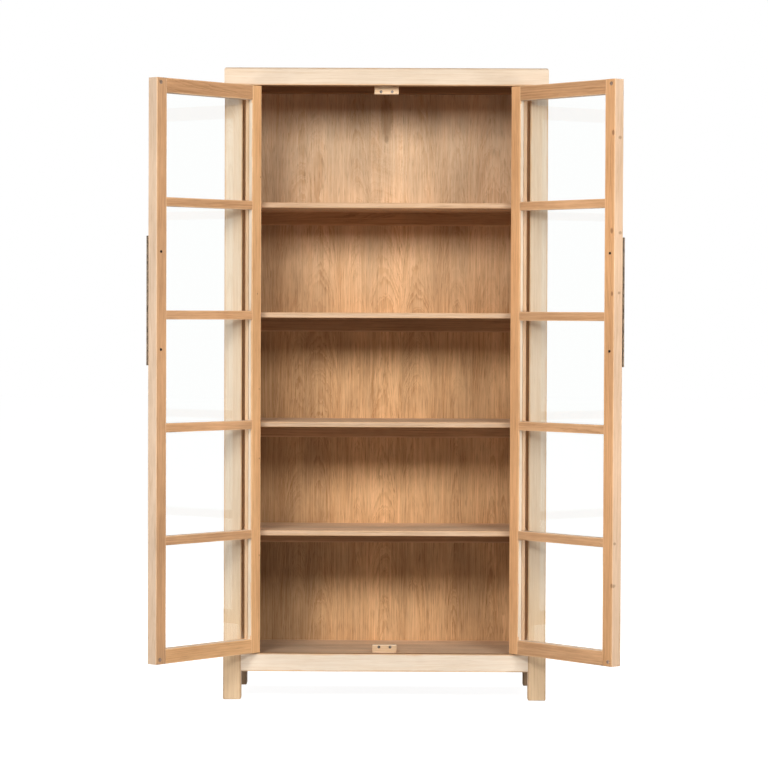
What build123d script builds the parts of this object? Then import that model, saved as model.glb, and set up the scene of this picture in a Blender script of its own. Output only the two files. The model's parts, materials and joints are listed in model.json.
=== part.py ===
from build123d import *
import os

# Display cabinet with two glazed doors, shown standing open.
# X runs to the right, Y to the back and Z up. All sizes are millimetres.
# Until the last step y = 0 is the carcass's front face and z = 0 the floor.
os.makedirs("parts", exist_ok=True)

# Carcass
cabinet_width = 1000.0
cabinet_depth = 405.0
cabinet_height = 1955.0
post_size = 55.0
top_height = 54.0
bottom_rail_top = 143.0
bottom_rail_height = 55.0
bottom_rail_depth = 40.0
back_panel_setback = 31.0
back_panel_thickness = 12.0
side_panel_thickness = 16.0
side_tongue_inset = 4.0
side_tongue_thickness = 8.0
floor_thickness = 18.0
floor_ledge = 14.0
top_panel_thickness = 18.0
top_tongue_inset = 6.0
top_tongue_thickness = 8.0
groove_depth = 8.0
groove_end_gap = 0.5

# Edges
top_edge_radius = 8.0
post_edge_radius = 2.5
foot_bevel = 2.2
board_edge_radius = 1.5

# Shelves and the rails they rest on, from the bottom up
shelf_tops = (522.0, 860.5, 1200.0, 1541.0)
shelf_thickness = 16.5
shelf_front = 48.0
shelf_housing = 6.0
shelf_rail_height = 45.0
shelf_rail_thickness = 20.0
shelf_rail_tenon_length = 20.0
shelf_rail_tenon_thickness = 10.0
shelf_rail_tenon_height = 30.0

# Carcass joints
rail_tenon_length = 25.0
rail_tenon_thickness = 14.0
rail_tenon_height = 35.0
front_tenon_setback = 13.0
side_tenon_setback = 20.0
post_tenon_size = 26.0
post_tenon_height = 28.0
corner_tenon_thickness = 12.0
corner_tenon_width = 16.0
corner_tenon_setback = 18.0
corner_tenon_cover = 10.0
corner_tenon_lift = 32.0

# Doors
door_thickness = 38.0
door_end_gap = 3.0
door_side_gap = 1.5
door_middle_gap = 2.5
stile_width = 40.0
door_rail_height = 44.0
muntin_height = 27.0
muntin_count = 4
door_edge_radius = 3.0
door_tenon_setback = 14.0
door_tenon_thickness = 10.0
door_tenon_length = 30.0
door_tenon_height = 27.0
door_tenon_edge = 6.0
muntin_tenon_setback = 11.0
muntin_tenon_thickness = 20.0
muntin_tenon_length = 14.0
muntin_tenon_height = 19.0
glass_setback = 19.0
glass_thickness = 4.0
glass_cover = 6.0
pane_bevel = 6.0
opening_angle = 132.0

# Pivots at both ends of each hinge stile
pivot_inset = 22.5
pivot_setback = 9.0
pin_radius = 3.0
pin_in_stile = 20.0
pin_in_bush = 12.0
pin_fit = 0.05
bush_outer_radius = 5.0
bush_length = 13.0
bush_hole_extra = 1.0

# Pulls on the meeting stiles
pull_centre_height = 1234.0
pull_edge_inset = 17.5
pull_length = 388.0
pull_width = 10.0
pull_bar_thickness = 6.0
pull_reach = 21.0
pull_hole_spacing = 292.0
pull_post_radius = 4.5
pull_spigot_radius = 3.0
pull_spigot_length = 3.0
screw_radius = 2.0
screw_clearance = 0.25
screw_in_post = 10.0
screw_head_radius = 4.0
screw_head_height = 2.4
screw_slot_width = 1.0
screw_slot_depth = 1.0

# Magnetic catches and the discs they hold
catch_width = 75.0
catch_height = 24.0
catch_depth = 30.0
catch_front = 40.5
catch_edge_radius = 1.5
magnet_radius = 4.5
magnet_length = 8.0
magnet_proud = 0.5
disc_radius = 6.0
disc_thickness = 3.0
disc_proud = 1.0
disc_edge_inset = 16.0
disc_end_inset = 14.0
catch_screw_radius = 1.75
catch_screw_head_radius = 3.5
catch_screw_head_height = 2.5
catch_screw_bite = 12.0
catch_screw_spacing = 58.0
catch_screw_setback = 9.0

# Sizes that follow from those above
half_width = cabinet_width / 2
inner_half = half_width - post_size
top_underside = cabinet_height - top_height
bottom_rail_base = bottom_rail_top - bottom_rail_height
back_post_front = cabinet_depth - post_size
back_panel_face = cabinet_depth - back_panel_setback
door_width = (2 * inner_half - 2 * door_side_gap - door_middle_gap) / 2
door_base = bottom_rail_top + door_end_gap
door_top = top_underside - door_end_gap
hinge_edge = -inner_half + door_side_gap
meeting_edge = hinge_edge + door_width
pivot_x = hinge_edge + pivot_inset


def span(x0, x1, y0, y1, z0, z1):
    """A block between six planes."""
    middle = Pos((x0 + x1) / 2, (y0 + y1) / 2, (z0 + z1) / 2)
    return middle * Box(x1 - x0, y1 - y0, z1 - z0)


def rod(x, y, z0, z1, radius):
    """A round bar standing along Z."""
    return Pos(x, y, (z0 + z1) / 2) * Cylinder(radius, z1 - z0)


def dowel(x, z, y0, y1, radius):
    """A round bar lying along Y."""
    return Pos(x, (y0 + y1) / 2, z) * Rot(90, 0, 0) * Cylinder(radius, y1 - y0)


def round_edges(shape, axis, radius, keep):
    """Rounds the edges along one axis whose centres pass the test."""
    chosen = shape.edges().filter_by(axis).filter_by(lambda edge: keep(edge.center()))
    return fillet(chosen, radius)


def mirrored(shape):
    """The same piece on the other side of the cabinet."""
    return mirror(shape, about=Plane.YZ)


nodes = {}

# Tenons that the posts and the carcass rails share
front_rail_tenon = span(
    inner_half,
    inner_half + rail_tenon_length,
    front_tenon_setback,
    front_tenon_setback + rail_tenon_thickness,
    bottom_rail_base + (bottom_rail_height - rail_tenon_height) / 2,
    bottom_rail_base + (bottom_rail_height + rail_tenon_height) / 2,
)
back_rail_tenon = mirror(front_rail_tenon, about=Plane.XZ.offset(-cabinet_depth / 2))
side_rail_front_tenon = span(
    inner_half + side_tenon_setback,
    inner_half + side_tenon_setback + rail_tenon_thickness,
    post_size - rail_tenon_length,
    post_size,
    bottom_rail_base + (bottom_rail_height - rail_tenon_height) / 2,
    bottom_rail_base + (bottom_rail_height + rail_tenon_height) / 2,
)
side_rail_back_tenon = mirror(side_rail_front_tenon, about=Plane.XZ.offset(-cabinet_depth / 2))
post_tenon_near = (post_size - post_tenon_size) / 2
post_tenon_far = (post_size + post_tenon_size) / 2
front_post_tenon = span(
    inner_half + post_tenon_near,
    inner_half + post_tenon_far,
    post_tenon_near,
    post_tenon_far,
    top_underside,
    top_underside + post_tenon_height,
)
back_post_tenon = mirror(front_post_tenon, about=Plane.XZ.offset(-cabinet_depth / 2))

# Side panel: a board between the posts with a tongue all round
tongue_near = inner_half + side_tongue_inset
tongue_far = tongue_near + side_tongue_thickness
side_board = span(
    inner_half,
    inner_half + side_panel_thickness,
    post_size,
    back_post_front,
    bottom_rail_top,
    top_underside,
)
side_tongue = span(
    tongue_near,
    tongue_far,
    post_size - groove_depth,
    back_post_front + groove_depth,
    bottom_rail_top - groove_depth,
    top_underside + groove_depth,
)
side_groove = span(
    tongue_near,
    tongue_far,
    post_size - groove_depth - groove_end_gap,
    back_post_front + groove_depth + groove_end_gap,
    bottom_rail_top - groove_depth - groove_end_gap,
    top_underside + groove_depth + groove_end_gap,
)

# Back panel and the groove that holds it on all four sides
back_panel_rear = back_panel_face + back_panel_thickness
back_panel = span(
    -inner_half - groove_depth,
    inner_half + groove_depth,
    back_panel_face,
    back_panel_rear,
    bottom_rail_top - groove_depth,
    top_underside + groove_depth,
)
back_groove = span(
    -inner_half - groove_depth - groove_end_gap,
    inner_half + groove_depth + groove_end_gap,
    back_panel_face,
    back_panel_rear,
    bottom_rail_top - groove_depth - groove_end_gap,
    top_underside + groove_depth + groove_end_gap,
)

# Shelves let into the side panels and posts, each resting on a rail at the back
shelves = []
shelf_rails = []
shelf_rail_tenons = []
for shelf_top in shelf_tops:
    shelf_base = shelf_top - shelf_thickness
    shelf = span(
        -inner_half - shelf_housing,
        inner_half + shelf_housing,
        shelf_front,
        back_panel_face,
        shelf_base,
        shelf_top,
    )
    shelves.append(shelf)
    rail_front = back_panel_face - shelf_rail_thickness
    rail_base = shelf_base - shelf_rail_height
    rail = span(-inner_half, inner_half, rail_front, back_panel_face, rail_base, shelf_base)
    tenon_front = rail_front + (shelf_rail_thickness - shelf_rail_tenon_thickness) / 2
    tenon_base = shelf_base - (shelf_rail_height + shelf_rail_tenon_height) / 2
    tenon = span(
        inner_half,
        inner_half + shelf_rail_tenon_length,
        tenon_front,
        tenon_front + shelf_rail_tenon_thickness,
        tenon_base,
        tenon_base + shelf_rail_tenon_height,
    )
    shelf_rail_tenons.append(tenon)
    shelf_rails.append(rail + tenon + mirrored(tenon))

# Side panels
side_panel_right = side_board + side_tongue
for shelf in shelves:
    side_panel_right -= shelf
nodes["side_panel_right"] = side_panel_right
nodes["side_panel_left"] = mirrored(side_panel_right)
nodes["back_panel"] = back_panel
for index, shelf in enumerate(shelves):
    front_edges = shelf.edges().filter_by(Axis.X).filter_by(lambda edge: edge.center().Y < shelf_front + 1)
    nodes[f"shelf_{index + 1}"] = fillet(front_edges, board_edge_radius)
    nodes[f"shelf_rail_{index + 1}"] = shelf_rails[index]

# Posts, which are also the legs
post_block = span(inner_half, half_width, 0, post_size, 0, top_underside)
post_front = round_edges(post_block, Axis.Z, post_edge_radius, lambda c: c.X > half_width - 1)
foot_edges = post_front.edges().filter_by(lambda e: e.center().Z < 0.1 and e.bounding_box().size.Z < 0.1)
post_front = chamfer(foot_edges, foot_bevel)
post_back = mirror(post_front, about=Plane.XZ.offset(-cabinet_depth / 2))
post_front = post_front + front_post_tenon - side_groove - front_rail_tenon - side_rail_front_tenon
post_back = post_back + back_post_tenon - side_groove - back_groove - back_rail_tenon - side_rail_back_tenon
for shelf in shelves:
    post_front -= shelf
    post_back -= shelf
for tenon in shelf_rail_tenons:
    post_back -= tenon
nodes["post_front_right"] = post_front
nodes["post_front_left"] = mirrored(post_front)
nodes["post_back_right"] = post_back
nodes["post_back_left"] = mirrored(post_back)

# Bottom rails and the floor board that lies in their ledges
floor_board = span(
    -inner_half,
    inner_half,
    bottom_rail_depth - floor_ledge,
    back_panel_face,
    bottom_rail_top - floor_thickness,
    bottom_rail_top,
)
front_rail = span(-inner_half, inner_half, 0, bottom_rail_depth, bottom_rail_base, bottom_rail_top)
back_rail = span(
    -inner_half,
    inner_half,
    cabinet_depth - bottom_rail_depth,
    cabinet_depth,
    bottom_rail_base,
    bottom_rail_top,
)
side_rail = span(inner_half, half_width, post_size, back_post_front, bottom_rail_base, bottom_rail_top)
side_rail = side_rail + side_rail_front_tenon + side_rail_back_tenon - side_groove
nodes["bottom_rail_right"] = side_rail
nodes["bottom_rail_left"] = mirrored(side_rail)
back_rail = back_rail + back_rail_tenon + mirrored(back_rail_tenon)
nodes["bottom_rail_back"] = back_rail - back_groove - floor_board
bottom_rail_front = front_rail + front_rail_tenon + mirrored(front_rail_tenon) - floor_board
nodes["floor_board"] = floor_board

# Top frame: four rails mitred at the corners, with a tenon inside each mitre
rail_blank = span(-half_width, half_width, 0, post_size, top_underside, cabinet_height)
rail_blank = round_edges(
    rail_blank,
    Axis.X,
    top_edge_radius,
    lambda c: c.Y < 1 and c.Z > cabinet_height - 1,
)
mitre_outline = Polyline(
    (-half_width, 0),
    (half_width, 0),
    (inner_half, post_size),
    (-inner_half, post_size),
    close=True,
)
mitre_front = extrude(Pos(0, 0, top_underside) * make_face(mitre_outline), amount=top_height)
corner_tenon_base = top_underside + corner_tenon_lift
corner_tenon = span(
    inner_half,
    half_width - corner_tenon_cover,
    corner_tenon_setback,
    corner_tenon_setback + corner_tenon_width,
    corner_tenon_base,
    corner_tenon_base + corner_tenon_thickness,
)
corner_tenon_back = mirror(corner_tenon, about=Plane.XZ.offset(-cabinet_depth / 2))
top_front = (rail_blank & mitre_front) + corner_tenon + mirrored(corner_tenon)
top_back = mirror(top_front, about=Plane.XZ.offset(-cabinet_depth / 2))
side_blank = span(inner_half, half_width, 0, cabinet_depth, top_underside, cabinet_height)
side_blank = round_edges(
    side_blank,
    Axis.Y,
    top_edge_radius,
    lambda c: c.X > half_width - 1 and c.Z > cabinet_height - 1,
)
side_outline = Polyline(
    (half_width, 0),
    (half_width, cabinet_depth),
    (inner_half, back_post_front),
    (inner_half, post_size),
    close=True,
)
mitre_side = extrude(Pos(0, 0, top_underside) * make_face(side_outline), amount=top_height)
top_side = (side_blank & mitre_side) - corner_tenon - corner_tenon_back

# Floating panel that fills the top frame
top_board = span(
    -inner_half,
    inner_half,
    post_size,
    back_post_front,
    cabinet_height - top_panel_thickness,
    cabinet_height,
)
top_tongue_top = cabinet_height - top_tongue_inset
top_tongue = span(
    -inner_half - groove_depth,
    inner_half + groove_depth,
    post_size - groove_depth,
    back_post_front + groove_depth,
    top_tongue_top - top_tongue_thickness,
    top_tongue_top,
)
top_groove = span(
    -inner_half - groove_depth - groove_end_gap,
    inner_half + groove_depth + groove_end_gap,
    post_size - groove_depth - groove_end_gap,
    back_post_front + groove_depth + groove_end_gap,
    top_tongue_top - top_tongue_thickness,
    top_tongue_top,
)
nodes["top_panel"] = top_board + top_tongue
post_tenons = front_post_tenon + mirrored(front_post_tenon)
top_rail_front = top_front - post_tenons - top_groove - side_groove - mirrored(side_groove)
top_back = top_back - back_post_tenon - mirrored(back_post_tenon) - top_groove - back_groove
nodes["top_rail_back"] = top_back - side_groove - mirrored(side_groove)
top_side = top_side - front_post_tenon - back_post_tenon - top_groove - side_groove
nodes["top_rail_right"] = top_side
nodes["top_rail_left"] = mirrored(top_side)

# Pivot bushes let into the rails above and below each hinge stile
bush_bore = pin_radius + pin_fit
hole_depth = bush_length + bush_hole_extra
bushes = []
for side in (-1, 1):
    x = side * -pivot_x
    low = rod(x, pivot_setback, bottom_rail_top - bush_length, bottom_rail_top, bush_outer_radius)
    low_hole = rod(x, pivot_setback, bottom_rail_top - hole_depth, bottom_rail_top, bush_bore)
    high = rod(x, pivot_setback, top_underside, top_underside + bush_length, bush_outer_radius)
    high_hole = rod(x, pivot_setback, top_underside, top_underside + hole_depth, bush_bore)
    bottom_rail_front = bottom_rail_front - low - low_hole
    top_rail_front = top_rail_front - high - high_hole
    bushes.append(low - low_hole)
    bushes.append(high - high_hole)
nodes["pivot_bushes"] = Compound(bushes)

# Catch blocks, each with two magnets and two screws
magnet_x = -meeting_edge + disc_edge_inset
catch_levels = {"top": (top_underside - catch_height, 1), "bottom": (bottom_rail_top, -1)}
magnets = []
catch_screws = []
catch_screw_y = catch_front + catch_screw_setback
blocks = {}
for level, (base, up) in catch_levels.items():
    block = span(
        -catch_width / 2,
        catch_width / 2,
        catch_front,
        catch_front + catch_depth,
        base,
        base + catch_height,
    )
    block = round_edges(block, Axis.Z, catch_edge_radius, lambda c: True)
    magnet_z = door_top - disc_end_inset if up > 0 else door_base + disc_end_inset
    for side in (-1, 1):
        magnet = dowel(
            side * magnet_x,
            magnet_z,
            catch_front - magnet_proud,
            catch_front - magnet_proud + magnet_length,
            magnet_radius,
        )
        magnets.append(magnet)
        block -= magnet
        x = side * catch_screw_spacing / 2
        face = base if up > 0 else base + catch_height
        head_end = face + up * catch_screw_head_height
        tip = face + up * (catch_height + catch_screw_bite)
        head = rod(x, catch_screw_y, min(face, head_end), max(face, head_end), catch_screw_head_radius)
        shank = rod(x, catch_screw_y, min(face, tip), max(face, tip), catch_screw_radius)
        screw = head + shank
        catch_screws.append(screw)
        block -= screw
    blocks[level] = block
for screw in catch_screws:
    top_rail_front -= screw
    nodes["floor_board"] = nodes["floor_board"] - screw
nodes["catch_block_top"] = blocks["top"]
nodes["catch_block_bottom"] = blocks["bottom"]
nodes["catch_magnets"] = Compound(magnets)
nodes["catch_screws"] = Compound(catch_screws)
nodes["bottom_rail_front"] = bottom_rail_front
nodes["top_rail_front"] = top_rail_front

# Left door, drawn shut: stiles, rails and bars round one sheet of glass
hinge_inner = hinge_edge + stile_width
meeting_inner = meeting_edge - stile_width
door = {}
glass = span(
    hinge_inner - glass_cover,
    meeting_inner + glass_cover,
    glass_setback,
    glass_setback + glass_thickness,
    door_base + door_rail_height - glass_cover,
    door_top - door_rail_height + glass_cover,
)
groove = span(
    hinge_inner - glass_cover - groove_end_gap,
    meeting_inner + glass_cover + groove_end_gap,
    glass_setback,
    glass_setback + glass_thickness,
    door_base + door_rail_height - glass_cover - groove_end_gap,
    door_top - door_rail_height + glass_cover + groove_end_gap,
)
hinge_stile = span(hinge_edge, hinge_inner, 0, door_thickness, door_base, door_top)
hinge_stile = round_edges(hinge_stile, Axis.Z, door_edge_radius, lambda c: c.X < hinge_edge + 1)
meeting_stile = span(meeting_inner, meeting_edge, 0, door_thickness, door_base, door_top)
meeting_stile = round_edges(meeting_stile, Axis.Z, door_edge_radius, lambda c: c.X > meeting_edge - 1)
hinge_stile -= groove
meeting_stile -= groove

# Door rails with a tenon at each end
door_tenon_rear = door_tenon_setback + door_tenon_thickness
rail_levels = {
    "top": (door_top - door_rail_height, door_top - door_tenon_edge - door_tenon_height),
    "bottom": (door_base, door_base + door_tenon_edge),
}
for level, (base, tenon_base) in rail_levels.items():
    body = span(hinge_inner, meeting_inner, 0, door_thickness, base, base + door_rail_height)
    tenon = span(
        hinge_inner - door_tenon_length,
        meeting_inner + door_tenon_length,
        door_tenon_setback,
        door_tenon_rear,
        tenon_base,
        tenon_base + door_tenon_height,
    )
    door[f"{level}_rail"] = body + tenon - groove
    hinge_stile -= tenon
    meeting_stile -= tenon

# Glazing bars: one piece each, slotted so that the sheet of glass runs through them
glazed_height = door_top - door_base - 2 * door_rail_height
pane_height = (glazed_height - muntin_count * muntin_height) / (muntin_count + 1)
for index in range(muntin_count):
    base = door_base + door_rail_height + pane_height + index * (pane_height + muntin_height)
    body = span(hinge_inner, meeting_inner, 0, door_thickness, base, base + muntin_height)
    tenon_base = base + (muntin_height - muntin_tenon_height) / 2
    tenon = span(
        hinge_inner - muntin_tenon_length,
        meeting_inner + muntin_tenon_length,
        muntin_tenon_setback,
        muntin_tenon_setback + muntin_tenon_thickness,
        tenon_base,
        tenon_base + muntin_tenon_height,
    )
    door[f"muntin_{index + 1}"] = body + tenon - groove
    hinge_stile -= tenon
    meeting_stile -= tenon
door["glass"] = glass

# Bevel round the outside of every pane, cut across stiles, rails and bars alike
pane_pitch = pane_height + muntin_height
pane_width = meeting_inner - hinge_inner
for index in range(muntin_count + 1):
    pane_centre = door_base + door_rail_height + pane_height / 2 + index * pane_pitch
    pane_plane = Plane(
        origin=((hinge_inner + meeting_inner) / 2, pane_bevel, pane_centre),
        x_dir=(1, 0, 0),
        z_dir=(0, -1, 0),
    )
    bevel = loft([
        pane_plane * Rectangle(pane_width, pane_height),
        pane_plane.offset(pane_bevel) * Rectangle(pane_width + 2 * pane_bevel, pane_height + 2 * pane_bevel),
    ])
    hinge_stile -= bevel
    meeting_stile -= bevel
    if index == 0:
        door["bottom_rail"] -= bevel
    else:
        door[f"muntin_{index}"] -= bevel
    if index == muntin_count:
        door["top_rail"] -= bevel
    else:
        door[f"muntin_{index + 1}"] -= bevel

# Pivot pins fixed in the ends of the hinge stile
pin_low = rod(
    pivot_x,
    pivot_setback,
    bottom_rail_top - pin_in_bush,
    door_base + pin_in_stile,
    pin_radius,
)
pin_high = rod(
    pivot_x,
    pivot_setback,
    door_top - pin_in_stile,
    top_underside + pin_in_bush,
    pin_radius,
)
hinge_stile = hinge_stile - pin_low - pin_high
door["pivot_pins"] = Compound([pin_low, pin_high])

# Pull: a flat bar on two round posts, held by screws from inside the door
pull_x = meeting_edge - pull_edge_inset
pull_base = pull_centre_height - pull_length / 2
pull_bar = span(
    pull_x - pull_width / 2,
    pull_x + pull_width / 2,
    -pull_reach,
    -pull_reach + pull_bar_thickness,
    pull_base,
    pull_base + pull_length,
)
pull_bar = round_edges(pull_bar, Axis.Y, pull_width / 2 - 0.5, lambda c: True)
pull_posts = []
pull_screws = []
for side in (-1, 1):
    z = pull_centre_height + side * pull_hole_spacing / 2
    post = dowel(pull_x, z, -pull_reach + pull_bar_thickness, 0, pull_post_radius)
    spigot = dowel(
        pull_x,
        z,
        -pull_reach + pull_bar_thickness - pull_spigot_length,
        -pull_reach + pull_bar_thickness,
        pull_spigot_radius,
    )
    shank = dowel(pull_x, z, -screw_in_post, door_thickness, screw_radius)
    head = dowel(pull_x, z, door_thickness, door_thickness + screw_head_height, screw_head_radius)
    slot = span(
        pull_x - screw_head_radius,
        pull_x + screw_head_radius,
        door_thickness + screw_head_height - screw_slot_depth,
        door_thickness + screw_head_height,
        z - screw_slot_width / 2,
        z + screw_slot_width / 2,
    )
    pull_bar -= spigot
    pull_posts.append(post + spigot - shank)
    pull_screws.append(shank + head - slot)
    meeting_stile -= dowel(pull_x, z, 0, door_thickness, screw_radius + screw_clearance)
door["pull_bar"] = pull_bar
door["pull_posts"] = Compound(pull_posts)
door["pull_screws"] = Compound(pull_screws)

# Steel discs that meet the magnets
discs = []
for z in (door_base + disc_end_inset, door_top - disc_end_inset):
    disc = dowel(
        meeting_edge - disc_edge_inset,
        z,
        door_thickness + disc_proud - disc_thickness,
        door_thickness + disc_proud,
        disc_radius,
    )
    discs.append(disc)
    meeting_stile -= disc
door["strike_discs"] = Compound(discs)
door["hinge_stile"] = hinge_stile
door["meeting_stile"] = meeting_stile

# Each door swings open about its own pivot line
left_axis = Axis((pivot_x, pivot_setback, 0), (0, 0, -1))
right_axis = Axis((-pivot_x, pivot_setback, 0), (0, 0, 1))
for name, piece in door.items():
    nodes[f"left_door_{name}"] = piece.rotate(left_axis, opening_angle)
    nodes[f"right_door_{name}"] = mirrored(piece).rotate(right_axis, opening_angle)

# Move everything so that the origin is the middle of the base of the open cabinet
everything = Compound(list(nodes.values()))
reach = everything.bounding_box()
shift_y = -(reach.min.Y + reach.max.Y) / 2
for name, piece in nodes.items():
    export_step(Pos(0, shift_y, 0) * piece, f"parts/{name}.step")
print("nodes", len(nodes), "shift", shift_y, "box", reach.min, reach.max)
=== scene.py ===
"""A tall wooden display cabinet with two glazed doors, dressed for a plain studio picture."""

import json
import logging
import math
import random
from dataclasses import astuple, dataclass, field, replace
from enum import Enum
from functools import reduce
from typing import Sequence

import bmesh
import bpy
from mathutils import Matrix, Vector, noise


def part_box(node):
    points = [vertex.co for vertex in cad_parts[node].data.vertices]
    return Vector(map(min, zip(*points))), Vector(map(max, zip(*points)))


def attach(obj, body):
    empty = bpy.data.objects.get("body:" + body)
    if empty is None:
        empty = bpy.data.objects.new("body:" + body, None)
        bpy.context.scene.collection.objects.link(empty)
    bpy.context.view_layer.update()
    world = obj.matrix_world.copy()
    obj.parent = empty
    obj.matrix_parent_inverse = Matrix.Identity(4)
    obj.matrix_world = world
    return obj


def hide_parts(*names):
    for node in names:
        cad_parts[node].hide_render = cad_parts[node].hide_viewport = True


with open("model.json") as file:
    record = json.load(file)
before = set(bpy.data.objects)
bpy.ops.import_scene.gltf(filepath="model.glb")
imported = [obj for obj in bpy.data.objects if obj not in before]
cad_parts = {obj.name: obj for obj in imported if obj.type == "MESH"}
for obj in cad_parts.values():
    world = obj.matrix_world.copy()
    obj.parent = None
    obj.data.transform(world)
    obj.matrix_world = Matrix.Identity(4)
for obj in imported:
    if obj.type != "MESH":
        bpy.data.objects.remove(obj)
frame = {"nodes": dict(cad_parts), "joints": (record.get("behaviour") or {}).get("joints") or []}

MM = 0.001
GRAIN_PLACE = "grain_place"
EDGE_WEAR = "edge_wear"
INNER_SIDE = "inner_side"
BOARD_STEP = 10.0
"""Metres between two boards' places along the grain, so that no two boards share a figure."""
SQUARE = Matrix.Identity(4)
"""The frame of an assembly that stands square in the row as it is."""

Colour = tuple[float, float, float]
Corners = tuple[Vector, Vector]
Span = tuple[float, float]
Mesh = bmesh.types.BMesh
Vert = bmesh.types.BMVert
Piece = bpy.types.Object

log = logging.getLogger("display_cabinet")


class Side(Enum):
    """The two doors, by the sign of X on the side they hang on."""

    LEFT = -1
    RIGHT = 1

    @property
    def word(self) -> str:
        """The side's name as the pieces spell it."""
        return self.name.lower()


class Run(Enum):
    """The way a board's grain runs in the square frame of its assembly."""

    ACROSS = 0
    DEEP = 1
    UPRIGHT = 2


class Kind(Enum):
    """The socket types that the effect groups use."""

    NUMBER = "NodeSocketFloat"
    PLACE = "NodeSocketVector"


class Slot(Enum):
    """The record's slots for the materials of the pieces that are built here."""

    PALE_WOOD = "pale_wood"
    BROWN_WOOD = "brown_wood"
    DOOR_WOOD = "door_wood"
    BRONZE = "bronze"
    BRASS = "brass"
    STEEL = "steel"
    DARK_STEEL = "dark_steel"


class Ray(Enum):
    """The kinds of ray that the glass, the floor and the sky tell apart."""

    CAMERA = "Is Camera Ray"
    SHADOW = "Is Shadow Ray"
    DIFFUSE = "Is Diffuse Ray"
    GLOSSY = "Is Glossy Ray"
    TRANSMITTED = "Is Transmission Ray"


SEEN = (Ray.CAMERA, Ray.GLOSSY, Ray.TRANSMITTED)
"""The rays that should find a white background."""


class Reading:
    """A number, place, colour or shader that a node gives. Plain sums on it add Math nodes."""

    def __init__(self, canvas: "Canvas", socket: bpy.types.NodeSocket) -> None:
        """Keeps the socket, and the canvas that its sums go on."""
        self.canvas, self.socket = canvas, socket

    def __add__(self, other: "Value") -> "Reading":
        """Gives the sum of two numbers."""
        return self.canvas.maths("ADD", self, other)

    def __sub__(self, other: "Value") -> "Reading":
        """Gives the first number less the second."""
        return self.canvas.maths("SUBTRACT", self, other)

    def __mul__(self, other: "Value") -> "Reading":
        """Gives the product of two numbers."""
        return self.canvas.maths("MULTIPLY", self, other)

    def __truediv__(self, other: "Value") -> "Reading":
        """Gives the first number by the second."""
        return self.canvas.maths("DIVIDE", self, other)

    def between(self, start: float, end: float) -> "Reading":
        """Maps 0 to the start and 1 to the end, in a straight line."""
        return self * (end - start) + start

    def step(self, low: float, high: float, start: float = 0.0, end: float = 1.0) -> "Reading":
        """Maps low to the start and high to the end, with a soft step between them."""
        fed = dict(enumerate((self, low, high, start, end)))
        return self.canvas.read("ShaderNodeMapRange", 0, fed, interpolation_type="SMOOTHSTEP")

    def ruffled(self, cloud: "Reading", reach: "Value") -> "Reading":
        """Moves the number up and down with a cloud, by up to half the reach."""
        return (cloud - 0.5) * reach + self

    def held(self) -> "Reading":
        """Keeps the last sum's result between 0 and 1."""
        self.socket.node.use_clamp = True
        return self


Value = float | Sequence[float] | Reading
Fed = dict[str | int, Value]


@dataclass(frozen=True)
class Cloud:
    """Smooth noise that is drawn out along the grain.

    Args:
        across: Its scale across and through the board.
        along: Its scale along the grain.
        detail: How many finer layers it has.
        rough: How strong the finer layers are.
    """

    across: float
    along: float
    detail: float = 2.0
    rough: float = 0.5

    @property
    def scale(self) -> tuple[float, float, float]:
        """Its scale along each axis of a grain place."""
        return (self.across, self.across, self.along)


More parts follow.
